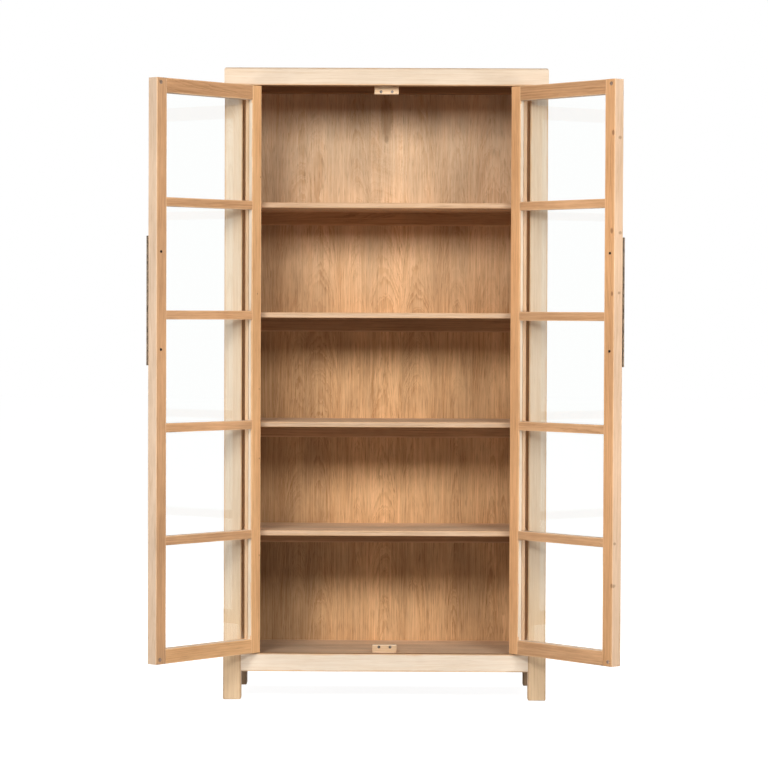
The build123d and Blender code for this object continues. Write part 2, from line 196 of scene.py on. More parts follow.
class Canvas:
    """Places nodes in one node tree and joins them up."""

    row = 12
    gap = (180, -260)
    mix_colours = (6, 7)
    mix_result = 2

    def __init__(self, tree: bpy.types.NodeTree) -> None:
        """Starts on an empty tree."""
        tree.nodes.clear()
        self.tree = tree

    def node(self, kind: str, fed: Fed | None = None, **settings: object) -> bpy.types.Node:
        """Adds a node, to the right of the last one, and fills its inputs.

        Args:
            kind: The node's type name.
            fed: What each input gets, by the input's name or number.
            settings: Values for the node's own properties.

        Returns:
            The new node.
        """
        count = len(self.tree.nodes)
        made = self.tree.nodes.new(kind)
        made.location = (self.gap[0] * (count % self.row), self.gap[1] * (count // self.row))
        for name, value in settings.items():
            setattr(made, name, value)
        for key, value in (fed or {}).items():
            socket = made.inputs[key]
            if isinstance(value, Reading):
                self.tree.links.new(value.socket, socket)
            elif isinstance(value, (int, float)):
                socket.default_value = value
            else:
                socket.default_value = (*value, 1.0)[: len(socket.default_value)]
        return made

    def read(self, kind: str, output: str | int, fed: Fed | None = None, **settings: object) -> Reading:
        """Adds a node and reads one of its outputs."""
        return Reading(self, self.node(kind, fed, **settings).outputs[output])

    def maths(self, operation: str, *numbers: Value) -> Reading:
        """Works out one sum on a Math node."""
        return self.read("ShaderNodeMath", 0, dict(enumerate(numbers)), operation=operation)

    def parts(self, whole: Value, kind: str = "ShaderNodeSeparateXYZ") -> list[Reading]:
        """Splits a place or a colour into its three numbers."""
        return [Reading(self, socket) for socket in self.node(kind, {0: whole}).outputs]

    def blend(self, amount: Value, first: Value, second: Value) -> Reading:
        """Blends two colours, by the amount of the second."""
        fed = {"Factor": amount, **dict(zip(self.mix_colours, (first, second)))}
        return self.read("ShaderNodeMix", self.mix_result, fed, data_type="RGBA")

    def either(self, amount: Value, first: Reading, second: Reading) -> Reading:
        """Shows the first shader where the amount is 0 and the second where it is 1."""
        return self.read("ShaderNodeMixShader", 0, {0: amount, 1: first, 2: second})

    def stretch(self, place: Value, scale: Value) -> Reading:
        """Scales a place along its three axes."""
        return self.read("ShaderNodeVectorMath", 0, {0: place, 1: scale}, operation="MULTIPLY")

    def length(self, place: Value) -> Reading:
        """Measures how far a place is from the middle of its frame."""
        return self.read("ShaderNodeVectorMath", "Value", {0: place}, operation="LENGTH")

    def cloud(self, place: Value, look: Cloud) -> Reading:
        """Reads smooth noise from 0 to 1 at a place."""
        fed = {"Vector": self.stretch(place, look.scale), "Detail": look.detail, "Roughness": look.rough}
        return self.read("ShaderNodeTexNoise", 0, {**fed, "Scale": 1.0}, noise_dimensions="3D")

    def mark(self, name: str, output: str = "Fac") -> Reading:
        """Reads one of the marks that the boards carry."""
        return self.read("ShaderNodeAttribute", output, attribute_name=name)

    def here(self) -> Reading:
        """Reads the place in the object's own frame."""
        return self.read("ShaderNodeTexCoord", "Object")

    def bump(self, strength: float, distance: float, height: Value) -> Reading:
        """Turns a height into a normal."""
        return self.read("ShaderNodeBump", 0, {"Strength": strength, "Distance": distance, "Height": height})

    def rays(self, kinds: Sequence[Ray]) -> Reading:
        """Gives 1 for rays of some kinds and 0 for all others."""
        found = [self.read("ShaderNodeLightPath", kind.value) for kind in kinds]
        return reduce(lambda one, other: self.maths("MAXIMUM", one, other), found)

    def show(self, shader: Reading, kind: str = "ShaderNodeOutputMaterial") -> None:
        """Gives the shader to the material or the world."""
        self.node(kind, {"Surface": shader})


class Effect(Canvas):
    """A shader node group that is built once and placed in each material that uses it."""

    name = ""
    places: Sequence[str] = ("Place",)
    numbers: Sequence[str] = ()
    outputs: Sequence[str] = ()

    def __init__(self) -> None:
        """Makes the group's tree and its sockets, and builds its nodes."""
        tree = bpy.data.node_groups.new(self.name, "ShaderNodeTree")
        rows = ((self.places, "INPUT", Kind.PLACE), (self.numbers, "INPUT", Kind.NUMBER))
        for titles, way, kind in (*rows, (self.outputs, "OUTPUT", Kind.NUMBER)):
            for title in titles:
                tree.interface.new_socket(title, in_out=way, socket_type=kind.value)
        super().__init__(tree)
        sockets = self.node("NodeGroupInput").outputs
        self.given = [Reading(self, sockets[title]) for title in (*self.places, *self.numbers)]
        self.node("NodeGroupOutput", dict(zip(self.outputs, self.build())))

    def build(self) -> Sequence[Reading]:
        """Builds the effect's own nodes and gives its outputs, in their order."""
        raise NotImplementedError

    @classmethod
    def place(cls, canvas: Canvas, *values: Value) -> list[Reading]:
        """Places the group in a material.

        Args:
            canvas: The material's canvas.
            values: The group's inputs, in their order.

        Returns:
            The group's outputs, in their order.
        """
        tree = bpy.data.node_groups.get(cls.name) or cls().tree
        made = canvas.node("ShaderNodeGroup", dict(zip((*cls.places, *cls.numbers), values)), node_tree=tree)
        return [Reading(canvas, made.outputs[title]) for title in cls.outputs]


class WoodFigure(Effect):
    """Growth rings cut by a flat saw, with pores, streaks and the tone of each glued plank."""

    name = "Wood Figure"
    numbers = ("Plank Width", "Ring Gap", "Arch", "Wander", "Bulge")
    outputs = ("Rings", "Pores", "Streaks", "Plank Tone", "Mottle", "Joint")
    sway, sway_reach = Cloud(2.0, 1.3), 0.07
    broad, fine, ragged = Cloud(11.0, 2.2), Cloud(75.0, 9.0), Cloud(230.0, 34.0, 2.0, 0.6)
    fine_share = 0.2
    calm, calm_step = Cloud(16.0, 4.5, 3.0, 0.6), (0.36, 0.62, 0.2, 1.0)
    dots, dots_step, early_pores = Cloud(520.0, 22.0, 1.0), (0.55, 0.72), 0.4
    lines, lines_step = Cloud(230.0, 5.2, 4.0, 0.72), (0.34, 0.70)
    patches, patches_step = Cloud(7.0, 2.1, 4.0, 0.65), (0.25, 0.75)
    joint_step = (0.3 * MM, 1.2 * MM, 1.0, 0.0)
    heart_span, lean_span, slide = (-0.35, 0.35), (0.6, 1.4), 3.0
    year_pace, year_reach = 0.13, 3.0
    late_rise, late_step = 1.8, (0.82, 1.0, 1.0, 0.0)

    def build(self) -> Sequence[Reading]:
        """Builds the rings as distances from a heart line that leans through each plank.

        Returns:
            The group's outputs, in their order.
        """
        place, width, gap, arch, wander, bulge = self.given
        x, y, z = self.parts(place)
        board = self.maths("ROUND", z / BOARD_STEP)
        planks = x / width + 0.5
        plank = self.maths("FLOOR", planks)
        along = z - board * BOARD_STEP
        local = (planks - plank - 0.5) * width
        seed = self.read("ShaderNodeCombineXYZ", 0, {0: plank, 1: board})
        chance = self.read("ShaderNodeTexWhiteNoise", "Color", {"Vector": seed}, noise_dimensions="3D")
        first, second, third = self.parts(chance, "ShaderNodeSeparateColor")

        way = self.maths("GREATER_THAN", first, 0.5).between(-1.0, 1.0)
        lean = way * third.between(*self.lean_span) * arch
        depth = (second * self.slide + along) * lean + y
        depth = depth.ruffled(self.cloud(place, self.sway), self.sway_reach)
        side = local - first.between(*self.heart_span) * width
        far = self.maths("SQRT", side * side + depth * depth)

        small = wander * self.fine_share
        for look, reach in ((self.broad, wander), (self.fine, small), (self.ragged, small)):
            far = far.ruffled(self.cloud(place, look), reach)
        turns = (far + bulge) / gap
        year = self.read("ShaderNodeTexNoise", 0, {"W": turns * self.year_pace}, noise_dimensions="1D")
        cell = self.maths("FRACT", year * self.year_reach + turns)
        rings = self.maths("POWER", cell, self.late_rise) * cell.step(*self.late_step)
        rings = rings * self.cloud(place, self.calm).step(*self.calm_step)
        return (
            rings,
            self.cloud(place, self.dots).step(*self.dots_step) * rings.between(self.early_pores, 1.0),
            self.cloud(place, self.lines).step(*self.lines_step),
            third,
            self.cloud(place, self.patches).step(*self.patches_step),
            (width / 2.0 - self.maths("ABSOLUTE", local)).step(*self.joint_step),
        )


class WoodKnot(Effect):
    """A knot: a dark heart, and rings that swell round it."""

    name = "Wood Knot"
    places = ("Place", "Centre", "Shape")
    numbers = ("Radius",)
    outputs = ("Heart", "Bulge")
    ragged, ragged_reach = Cloud(260.0, 160.0), 0.5
    heart_step = (0.55, 1.15, 1.0, 0.0)
    swell_step = (0.0, 4.5, 1.0, 0.0)

    def build(self) -> Sequence[Reading]:
        """Builds the knot from the distance to its centre, drawn out along the grain by its shape.

        Returns:
            The group's outputs, in their order.
        """
        place, centre, shape, radius = self.given
        gap = self.read("ShaderNodeVectorMath", 0, {0: place, 1: centre}, operation="SUBTRACT")
        share = self.length(self.stretch(gap, shape)) / radius
        share = share.ruffled(self.cloud(place, self.ragged), self.ragged_reach)
        return share.step(*self.heart_step), share.step(*self.swell_step) * radius


class EdgeWear(Effect):
    """Breaks up the mark that a board carries along its edges into rubbed patches."""

    name = "Edge Wear"
    numbers = ("Edge", "Amount")
    outputs = ("Rubbed",)
    patches, patches_reach = Cloud(60.0, 14.0, 3.0, 0.6), 0.9
    rubbed_step = (0.35, 0.95)

    def build(self) -> Sequence[Reading]:
        """Builds the rubbed mask.

        Returns:
            The group's outputs, in their order.
        """
        place, edge, amount = self.given
        rubbed = edge.ruffled(self.cloud(place, self.patches), self.patches_reach).step(*self.rubbed_step)
        return ((rubbed * amount).held(),)


class MetalSkin(Effect):
    """The fine scratches and the handled patches of a small metal fitting."""

    name = "Metal Skin"
    numbers = ("Scratch Scale",)
    outputs = ("Scratches", "Handled")
    lines = Cloud(1.0, 0.05, 2.0, 0.6)
    patches, handled_step = Cloud(140.0, 90.0, 3.0, 0.6), (0.35, 0.7)

    def build(self) -> Sequence[Reading]:
        """Builds scratches drawn out along Z and round patches.

        Returns:
            The group's outputs, in their order.
        """
        place, scale = self.given
        scaled = self.read("ShaderNodeVectorMath", 0, {0: place, "Scale": scale}, operation="SCALE")
        return self.cloud(scaled, self.lines), self.cloud(place, self.patches).step(*self.handled_step)


class GlassFilm(Effect):
    """The faint marks that a cloth leaves on clean glass and the slow waves of its faces."""

    name = "Glass Film"
    outputs = ("Film", "Waves")
    wiped, wiped_step = Cloud(22.0, 6.0, 4.0, 0.7), (0.5, 0.8)
    waves = Cloud(5.0, 2.5, 1.0)

    def build(self) -> Sequence[Reading]:
        """Builds the film and the waves."""
        wiped, waves = (self.cloud(self.given[0], look) for look in (self.wiped, self.waves))
        return wiped.step(*self.wiped_step), waves


@dataclass(frozen=True)
class Tint:
    """The colours of one wood finish, as linear red, green and blue."""

    early: Colour
    late: Colour
    pore: Colour
    rubbed: Colour


@dataclass(frozen=True)
class Knot:
    """A knot on a board's broad face, from the middle of the board.

    Args:
        across: Metres across the face.
        along: Metres along the grain.
        radius: The heart's radius in metres.
        strength: How dark the heart is.
        slimness: The share of its width by its length along the grain.
        depth_share: The share of its width by its length through the board.
        below: Metres from the broad face down to its middle.
    """

    across: float
    along: float
    radius: float
    strength: float = 0.85
    slimness: float = 0.62
    depth_share: float = 0.25
    below: float = 0.0


@dataclass(frozen=True)
class Finish:
    """A finish, whose material is made once."""

    name: str

    @property
    def swatch(self) -> Colour:
        """The plain colour that stands for the finish."""
        return (0.8, 0.8, 0.8)

    def shader(self, canvas: Canvas) -> Reading:
        """Builds the finish's shader on its material's canvas."""
        raise NotImplementedError

    def coat(self, node: str) -> None:
        """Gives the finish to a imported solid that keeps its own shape."""
        frame["nodes"][node].data.materials.clear()
        frame["nodes"][node].data.materials.append(self.material())

    def material(self) -> bpy.types.Material:
        """Makes the finish's material, or hands back the one made before.

        Returns:
            The material.
        """
        made = bpy.data.materials.get(self.name)
        if made:
            return made
        made = bpy.data.materials.new(self.name)
        made.use_nodes = True
        made.diffuse_color = (*self.swatch, 1.0)
        canvas = Canvas(made.node_tree)
        canvas.show(self.shader(canvas))
        return made


@dataclass(frozen=True)
class WoodFinish(Finish):
    """How one kind of wood looks once it is sawn, stained and rubbed.

    Sizes are in metres. The strengths and depths are shares of 1, and a span is a pair of heights, or of
    places across the cabinet for the painted shade of one side, between which a change takes place. The inner
    tint is painted shade inside the carcass and a stain on the doors, with painted light on some door pieces.
    """

    slot: Slot
    tint: Tint
    ring_gap: float = 4.0 * MM
    plank_width: float = 0.4
    arch: float = 0.03
    wander: float = 9.0 * MM
    ring_strength: float = 0.7
    streak_strength: float = 0.5
    pore_strength: float = 0.5
    tone_range: float = 0.2
    mottle_strength: float = 0.25
    joint_strength: float = 0.0
    wear: float = 0.6
    polish: float = 0.08
    roughness: Span = (0.55, 0.72)
    specular: float = 0.2
    relief: float = 0.25 * MM
    relief_strength: float = 0.7
    pore_depth: float = 0.8
    ring_depth: float = 0.5
    streak_depth: float = 0.35
    inner: Tint | None = None
    faded: Tint | None = None
    fade_span: Span = (0.0, 1.0)
    shaded_span: Span | None = None
    shaded_tone: float = 1.0
    shaded_slant: float = 0.0
    heart_tone: float = 0.7
    knots: tuple[tuple[Vector, Knot], ...] = ()

    @property
    def swatch(self) -> Colour:
        """The plain colour that stands for the finish."""
        return self.tint.early

    def tints(self, canvas: Canvas) -> list[Value]:
        """Works in the inner tint, which is painted shade inside the carcass and a stain on the doors, and
        the tint that changes with the height.

        Args:
            canvas: The material's canvas.

        Returns:
            The colours of a Tint, in their order.
        """
        tints = list(astuple(self.tint))
        if self.inner:
            inside = canvas.mark(INNER_SIDE)
            tints = [canvas.blend(inside, *pair) for pair in zip(tints, astuple(self.inner))]
        if self.faded:
            height = canvas.parts(canvas.here())[2].step(*self.fade_span)
            tints = [canvas.blend(height, *pair) for pair in zip(tints, astuple(self.faded))]
        return tints

    def shader(self, canvas: Canvas) -> Reading:
        """Lays the figure, the tones, the painted shade of one side, the knots and the rubbed edges over each
        other.

        Args:
            canvas: The material's canvas.

        Returns:
            The wood's shader.
        """
        place = canvas.mark(GRAIN_PLACE, "Vector")
        bulge: Value = 0.0
        hearts: Value = 0.0
        for centre, knot in self.knots:
            shape = (1.0, knot.depth_share, knot.slimness)
            heart, swell = WoodKnot.place(canvas, place, centre, shape, knot.radius)
            bulge = swell + bulge
            hearts = canvas.maths("MAXIMUM", heart * knot.strength, hearts)
        sizes = (self.plank_width, self.ring_gap, self.arch, self.wander)
        rings, pores, streaks, tone, mottle, joint = WoodFigure.place(canvas, place, *sizes, bulge)

        early, late, pore, rubbed = self.tints(canvas)
        dark = streaks * self.streak_strength + rings * self.ring_strength
        colour = canvas.blend(dark.held(), early, late)
        colour = canvas.blend(pores * self.pore_strength, colour, pore)
        shade = tone.between(1.0 - self.tone_range, 1.0) * mottle.between(1.0 - self.mottle_strength, 1.0)
        depth = pores * -self.pore_depth + rings * -self.ring_depth + streaks * -self.streak_depth
        if self.joint_strength:
            shade = shade * joint.between(1.0, 1.0 - self.joint_strength)
            depth = joint * -self.joint_strength + depth
        # Painted shade: the colour darkens towards one side of the cabinet, where its posts and doors shade
        # it.
        if self.shaded_span:
            x, _, z = canvas.parts(canvas.here())
            across = z * self.shaded_slant + x
            shade = shade * across.step(*self.shaded_span, self.shaded_tone, 1.0)
        colour = canvas.read("ShaderNodeHueSaturation", 0, {"Value": shade, "Color": colour})
        if self.knots:
            heart_colour = [self.heart_tone * part for part in (self.inner or self.tint).pore]
            colour = canvas.blend(hearts, colour, heart_colour)
        worn = EdgeWear.place(canvas, place, canvas.mark(EDGE_WEAR), self.wear)[0]
        rough = worn * -self.polish + pores.between(*self.roughness)
        fed = {
            "Base Color": canvas.blend(worn, colour, rubbed),
            "Roughness": rough.held(),
            "Specular IOR Level": self.specular,
            "Normal": canvas.bump(self.relief_strength, self.relief, depth),
        }
        return canvas.read("ShaderNodeBsdfPrincipled", 0, fed)


@dataclass(frozen=True)
class MetalFinish(Finish):
    """How one kind of fitting looks."""

    slot: Slot
    clean: Colour
    dulled: Colour
    roughness: Span = (0.25, 0.5)
    scratch_scale: float = 900.0
    scratch_roughness: float = 0.1
    scratch_depth: float = 0.05 * MM
    scratch_strength: float = 0.25

    @property
    def swatch(self) -> Colour:
        """The plain colour that stands for the finish."""
        return self.clean

    def shader(self, canvas: Canvas) -> Reading:
        """Dulls the metal where it is handled and scratches it.

        Args:
            canvas: The material's canvas.

        Returns:
            The metal's shader.
        """
        scratches, handled = MetalSkin.place(canvas, canvas.here(), self.scratch_scale)
        rough = scratches * self.scratch_roughness + handled.between(*self.roughness)
        fed = {
            "Base Color": canvas.blend(handled, self.clean, self.dulled),
            "Metallic": 1.0,
            "Roughness": rough.held(),
            "Normal": canvas.bump(self.scratch_strength, self.scratch_depth, scratches),
        }
        return canvas.read("ShaderNodeBsdfPrincipled", 0, fed)


@dataclass(frozen=True)
class GlassFinish(Finish):
    """Clear window glass that lets the lamps through."""

    name: str = "window_glass"
    tint: Colour = (0.985, 0.995, 0.988)
    passed: Colour = (0.93, 0.94, 0.93)
    smear: float = 0.02
    wave_strength: float = 0.08
    wave_depth: float = 0.4 * MM
    bending: float = 1.45
    specular: float = 0.3

    def shader(self, canvas: Canvas) -> Reading:
        """Builds the glass, which is clear for shadow and diffuse rays.

        Args:
            canvas: The material's canvas.

        Returns:
            The glass's shader.
        """
        film, waves = GlassFilm.place(canvas, canvas.here())
        fed = {
            "Base Color": self.tint,
            "Roughness": film * self.smear,
            "IOR": self.bending,
            "Specular IOR Level": self.specular,
            "Transmission Weight": 1.0,
            "Normal": canvas.bump(self.wave_strength, self.wave_depth, waves),
        }
        glass = canvas.read("ShaderNodeBsdfPrincipled", 0, fed)
        clear = canvas.read("ShaderNodeBsdfTransparent", 0, {"Color": self.passed})
        return canvas.either(canvas.rays((Ray.SHADOW, Ray.DIFFUSE)), glass, clear)


@dataclass(frozen=True)
class FloorPaint(Finish):
    """Matt paint that looks white where it is seen, and keeps the cabinet's shadow."""

    name: str = "studio_floor"
    paint: Colour = (0.26, 0.26, 0.26)
    shadow: Colour = (0.4, 0.4, 0.4)
    glow_step: tuple[float, float, float, float] = (1.0, 3.0, 0.93, 1.0)

    def shader(self, canvas: Canvas) -> Reading:
        """Builds the paint, with a glow for the rays that should find a white background.

        Args:
            canvas: The material's canvas.

        Returns:
            The paint's shader.
        """
        matt = canvas.read("ShaderNodeBsdfDiffuse", 0, {"Color": self.paint})
        shadow = canvas.read("ShaderNodeBsdfDiffuse", 0, {"Color": self.shadow})
        strength = canvas.length(canvas.here()).step(*self.glow_step)
        glow = canvas.read("ShaderNodeEmission", 0, {"Strength": strength})
        white = canvas.read("ShaderNodeAddShader", 0, {0: shadow, 1: glow})
        return canvas.either(canvas.rays(SEEN), matt, white)


LIMED = Tint((0.87, 0.71, 0.55), (0.74, 0.55, 0.37), (0.58, 0.41, 0.26), (0.68, 0.43, 0.24))
BLEACHED = Tint((1.0, 0.84, 0.67), (0.88, 0.67, 0.47), (0.62, 0.43, 0.26), (0.80, 0.53, 0.31))
TANNED = Tint((0.99, 0.72, 0.455), (0.81, 0.53, 0.295), (0.52, 0.33, 0.18), (0.62, 0.38, 0.21))
HONEY = Tint((0.92, 0.51, 0.245), (0.66, 0.32, 0.13), (0.35, 0.15, 0.055), (0.93, 0.60, 0.34))
# A brighter honey for painted light.
PAINTED_LIGHT_HONEY = Tint((1.0, 0.585, 0.285), (0.76, 0.38, 0.155), (0.38, 0.165, 0.06), (0.96, 0.64, 0.37))
TAWNY = Tint((0.87, 0.50, 0.26), (0.60, 0.30, 0.13), (0.32, 0.14, 0.052), (0.88, 0.57, 0.33))
AMBER = Tint((0.76, 0.42, 0.21), (0.47, 0.23, 0.095), (0.27, 0.115, 0.045), (0.84, 0.54, 0.31))
TOASTED = Tint((1.0, 0.62, 0.32), (0.56, 0.27, 0.10), (0.30, 0.13, 0.045), (0.88, 0.58, 0.35))
DUSTED = Tint((1.0, 0.72, 0.49), (0.68, 0.43, 0.25), (0.38, 0.20, 0.10), (0.80, 0.48, 0.25))
SMOKED = Tint((0.88, 0.59, 0.37), (0.54, 0.31, 0.16), (0.31, 0.15, 0.07), (0.60, 0.345, 0.18))
# Painted shade for the feet of the back posts, under the cabinet.
PAINTED_FOOT_SHADE = Tint((0.52, 0.345, 0.215), (0.38, 0.235, 0.135), (0.27, 0.16, 0.09), (0.42, 0.27, 0.155))
# Painted shade: the dark tint of the faces inside the carcass and of the undersides of the shelves.
PAINTED_INNER_SHADE = Tint((0.42, 0.22, 0.10), (0.26, 0.12, 0.048), (0.15, 0.065, 0.025), (0.50, 0.28, 0.14))
PALE_TOP_TINT = Tint((1.0, 0.74, 0.49), (0.80, 0.48, 0.25), (0.38, 0.19, 0.08), (0.88, 0.62, 0.40))
BLOND = Tint((1.0, 0.72, 0.46), (0.80, 0.48, 0.25), (0.45, 0.23, 0.10), (1.0, 0.80, 0.58))
LIMED_WOOD = WoodFinish(
    "limed_finish",
    Slot.PALE_WOOD,
    LIMED,
    ring_strength=0.5,
    pore_strength=0.35,
    tone_range=0.05,
    mottle_strength=0.09,
    wear=1.0,
    # The faces inside the cabinet get painted shade.
    inner=PAINTED_INNER_SHADE,
)
RAIL_WOOD = replace(LIMED_WOOD, name="bleached_finish", tint=BLEACHED)
POST_WOOD = replace(LIMED_WOOD, name="post_finish", faded=TANNED, fade_span=(0.50, 0.06))
# Painted shade: the back posts darken towards the floor, where they stand under the cabinet.
BACK_POST_WOOD = replace(POST_WOOD, name="back_post_finish", faded=PAINTED_FOOT_SHADE, fade_span=(0.32, 0.06))
STILE_WOOD = WoodFinish(
    "stile_finish",
    Slot.DOOR_WOOD,
    BLEACHED,
    ring_gap=3.4 * MM,
    ring_strength=0.85,
    streak_strength=0.6,
    pore_strength=0.4,
    tone_range=0.10,
    mottle_strength=0.2,
    inner=HONEY,
)
# Painted light: a brighter copy of the stile wood for the left door's hinge stile and bottom rail.
PAINTED_LIGHT_STILE_WOOD = replace(STILE_WOOD, name="sunlit_finish", inner=PAINTED_LIGHT_HONEY)
MUNTIN_WOOD = replace(STILE_WOOD, name="muntin_finish", mottle_strength=0.28, inner=TAWNY)
DOOR_RAIL_WOOD = replace(STILE_WOOD, name="door_rail_finish", mottle_strength=0.26, inner=AMBER)
SHELF_WOOD = WoodFinish(
    "shelf_finish",
    Slot.BROWN_WOOD,
    DUSTED,
    ring_gap=3.2 * MM,
    plank_width=0.12,
    ring_strength=0.8,
    tone_range=0.18,
    joint_strength=0.2,
    specular=0.25,
    # The undersides and the inner faces get painted shade.
    inner=PAINTED_INNER_SHADE,
    faded=SMOKED,
    fade_span=(1.2, 1.6),
)
# Painted shadow: the floor board darkens towards the left post, which shades it.
FLOOR_WOOD = replace(SHELF_WOOD, name="floor_board_finish", shaded_span=(-0.48, -0.12), shaded_tone=0.54)
# Painted shade: a darker copy of the shelf wood for the rails that stand under the shelves.
SHELF_RAIL_WOOD = replace(SHELF_WOOD, name="shelf_rail_finish", tint=AMBER, specular=0.12, faded=None)
SIDE_WOOD = replace(
    SHELF_WOOD,
    name="side_panel_finish",
    tint=LIMED,
    joint_strength=0.15,
    tone_range=0.12,
    mottle_strength=0.1,
    specular=0.12,
    faded=None,
)
BACK_WOOD = WoodFinish(
    "back_panel_finish",
    Slot.BROWN_WOOD,
    TOASTED,
    ring_gap=2.6 * MM,
    plank_width=0.104,
    arch=0.055,
    wander=12.0 * MM,
    ring_strength=0.66,
    streak_strength=0.54,
    pore_strength=0.75,
    tone_range=0.12,
    mottle_strength=0.34,
    joint_strength=0.08,
    wear=0.2,
    specular=0.12,
    # Paler towards the top.
    faded=PALE_TOP_TINT,
    fade_span=(1.0, 1.9),
    # Painted shade: the back panel darkens towards its left side, more so lower down.
    shaded_span=(-0.34, -0.02),
    shaded_tone=0.6,
    shaded_slant=0.14,
)
BLOCK_WOOD = WoodFinish("catch_block_finish", Slot.PALE_WOOD, BLOND, wear=0.7)
BRONZE = MetalFinish("bronze_finish", Slot.BRONZE, (0.21, 0.155, 0.11), (0.09, 0.068, 0.05), (0.35, 0.6))
BRASS = MetalFinish("brass_finish", Slot.BRASS, (0.72, 0.52, 0.24), (0.48, 0.34, 0.16))
STEEL = MetalFinish("steel_finish", Slot.STEEL, (0.56, 0.57, 0.58), (0.38, 0.39, 0.41), (0.25, 0.45))
DISC_STEEL = MetalFinish(
    "disc_steel_finish", Slot.STEEL, (0.27, 0.19, 0.14), (0.14, 0.098, 0.07), (0.4, 0.65)
)
MAGNET_STEEL = MetalFinish(
    "magnet_finish", Slot.DARK_STEEL, (0.20, 0.17, 0.15), (0.09, 0.078, 0.068), (0.35, 0.55)
)
DARK_STEEL = MetalFinish(
    "dark_steel_finish", Slot.DARK_STEEL, (0.03, 0.025, 0.021), (0.015, 0.012, 0.01), (0.4, 0.65)
)


class Shape:
    """A mesh under work, in the frame in which its assembly stands shut and square."""

    weld = 0.002 * MM
    cut_weld = 0.001 * MM

    def __init__(self, turn: Matrix, node: str = "") -> None:
        """Starts empty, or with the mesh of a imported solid.

        Args:
            turn: The move from the row frame to the square frame.
            node: The solid's name, if there is one.
        """
        self.turn, self.mesh = turn, bmesh.new()
        if node:
            self.mesh.from_mesh(frame["nodes"][node].data)
            self.mesh.transform(turn)
            bmesh.ops.remove_doubles(self.mesh, verts=self.mesh.verts, dist=self.weld)

    @staticmethod
    def box(verts: Sequence[Vert]) -> Corners:
        """Gives the lowest and the highest corner of some vertices."""
        spans = [[vert.co[axis] for vert in verts] for axis in range(3)]
        return Vector([min(span) for span in spans]), Vector([max(span) for span in spans])

    def boxes(self) -> list[Corners]:
        """Measures the separate solids in the mesh, from the lowest up.

        Returns:
            Each solid's lowest and highest corner.
        """
        left, boxes = set(self.mesh.verts), []
        while left:
            found = [left.pop()]
            for vert in found:
                joined = {edge.other_vert(vert) for edge in vert.link_edges} & left
                left -= joined
                found.extend(joined)
            boxes.append(self.box(found))
        return sorted(boxes, key=lambda box: (round(box[0].z, 4), round(box[0].x, 4)))

    def slice(self, axis: int, level: float) -> None:
        """Cuts new edges round the mesh on one plane.

        Args:
            axis: The plane's normal axis.
            level: The plane's height on that axis.
        """
        made, normal = self.mesh, Matrix.Identity(3)[axis].copy()
        parts = made.verts[:] + made.edges[:] + made.faces[:]
        bmesh.ops.bisect_plane(made, geom=parts, dist=self.cut_weld, plane_co=normal * level, plane_no=normal)

    @staticmethod
    def pairs(ring: list[Vert]) -> list[tuple[Vert, Vert]]:
        """Pairs each vertex of a ring with the next, round to the first."""
        return list(zip(ring, ring[1:] + ring[:1]))

    def band(self, first: list[Vert], second: list[Vert]) -> None:
        """Closes the band between two rings."""
        for low, high in zip(self.pairs(first), self.pairs(second)):
            self.mesh.faces.new((*low, *reversed(high)))

    def fit(self, node: str, finish: WoodFinish | MetalFinish, body: str, sharp: float = 32.0) -> Piece:
        """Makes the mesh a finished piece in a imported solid's place.

        Args:
            node: The solid's name.
            finish: The piece's finish.
            body: The body it rides on.
            sharp: Edges that turn by more than this many degrees stay sharp.

        Returns:
            The piece.
        """
        self.mesh.transform(self.turn.inverted())
        bmesh.ops.recalc_face_normals(self.mesh, faces=self.mesh.faces)
        mesh = bpy.data.meshes.new("dressed_" + node)
        self.mesh.to_mesh(mesh)
        mesh.shade_smooth()
        mesh.set_sharp_from_angle(angle=math.radians(sharp))
        mesh.materials.append(finish.material())
        piece = bpy.data.objects.new("dressed_" + node, mesh)
        bpy.context.scene.collection.objects.link(piece)
        piece.modifiers.new("flat faces stay flat", "WEIGHTED_NORMAL").keep_sharp = True
        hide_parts(node)
        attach(piece, body)
        return piece


@dataclass(frozen=True)
class Stain:
    """The faces of an assembly that take its inner tint: a stain on the doors, and painted shade inside the
    carcass.

    Args:
        low: The lowest corner of the stained room.
        high: Its highest corner.
        edge: The x of a door's free edge, or none.
        edge_share: How much of the inner tint that edge carries.
        edge_reach: How far from it a face still belongs to the edge.
        downward: Whether only the faces that look down take the inner tint, and the front ones a little; in
            the carcass this is painted shade under the shelves and the floor board.
        front_share: How much of the inner tint the front faces then carry.
        rim: The y range of the faces round a pane, or none.
        rim_share: How much of the inner tint they carry.
        rim_front: The y of a normal at which a face is the door's front, and no rim.
        slack: How far outside the room a face's middle may be.
        facing: How much of its normal makes a face look along an axis.
    """

    low: Vector = Vector((-5.0, -5.0, -5.0))
    high: Vector = Vector((5.0, 5.0, 5.0))
    edge: float | None = None
    edge_share: float = 0.0
    edge_reach: float = 2.5 * MM
    downward: bool = False
    front_share: float = 0.16
    rim: Span | None = None
    rim_share: float = 0.0
    rim_front: float = -0.9
    slack: float = 1.0 * MM
    facing: float = 0.5

    def share(self, face: bmesh.types.BMFace) -> float:
        """Tells how much of the inner tint a face carries.

        Args:
            face: A face in the square frame.

        Returns:
            1 for a face that looks into the room, the share of an edge, a rim or a front, else 0.
        """
        normal, middle = face.normal, face.calc_center_median()
        if self.downward:
            return self.front_share if normal.y < -self.facing else float(normal.z < -self.facing)
        sideways = abs(normal.x) > self.facing
        if sideways and self.edge is not None and abs(middle.x - self.edge) < self.edge_reach:
            return self.edge_share
        if self.rim and self.rim[0] < middle.y < self.rim[1] and normal.y > self.rim_front:
            return self.rim_share
        if any(not self.low[a] - self.slack <= middle[a] <= self.high[a] + self.slack for a in range(3)):
            return 0.0
        axis = max(range(3), key=lambda a: abs(normal[a]))
        inward = (self.low[axis] + self.high[axis]) / 2 - middle[axis]
        return float(normal[axis] * inward > 0.0)


